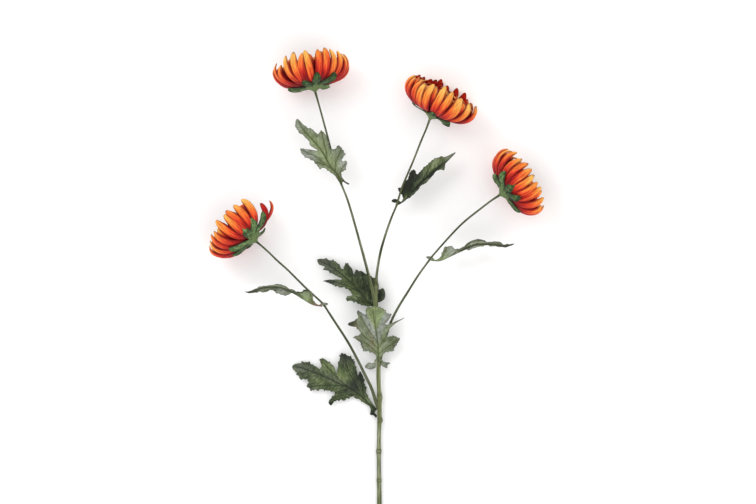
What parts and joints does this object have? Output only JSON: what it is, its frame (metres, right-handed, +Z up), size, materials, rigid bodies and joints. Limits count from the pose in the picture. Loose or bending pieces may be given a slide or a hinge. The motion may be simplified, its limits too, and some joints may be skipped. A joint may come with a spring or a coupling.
{
  "type": "chrysanthemum spray",
  "caption": "Cut flower spray lying flat: a branched green stem with lobed leaves, each stalk ending in a cupped, many-petalled orange chrysanthemum head on a green calyx.",
  "frame": {"origin": "centre of the bounding box in plan, on the surface that the spray lies on", "axes": "+Z up from the surface, +Y along the main stem from its cut end towards the heads, +X to the right as seen from above"},
  "size_m": [0.3682, 0.5676, 0.0739],
  "materials": {
    "stem_green": "matte",
    "leaf_green": "matte",
    "petal_orange": "matte",
    "calyx_green": "matte"
  },
  "bodies": {
    "root": {"stem": "stem_green", "leaf_fork": "leaf_green", "leaf_front": "leaf_green", "leaf_left": "leaf_green", "leaf_low": "leaf_green", "leaf_right": "leaf_green", "leaf_top_left": "leaf_green", "leaf_top_right": "leaf_green", "petals_left": "petal_orange", "petals_top_left": "petal_orange", "petals_top_right": "petal_orange", "petals_right": "petal_orange", "calyx_left": "calyx_green", "calyx_top_left": "calyx_green", "calyx_top_right": "calyx_green", "calyx_right": "calyx_green"}
  },
  "joints": []
}
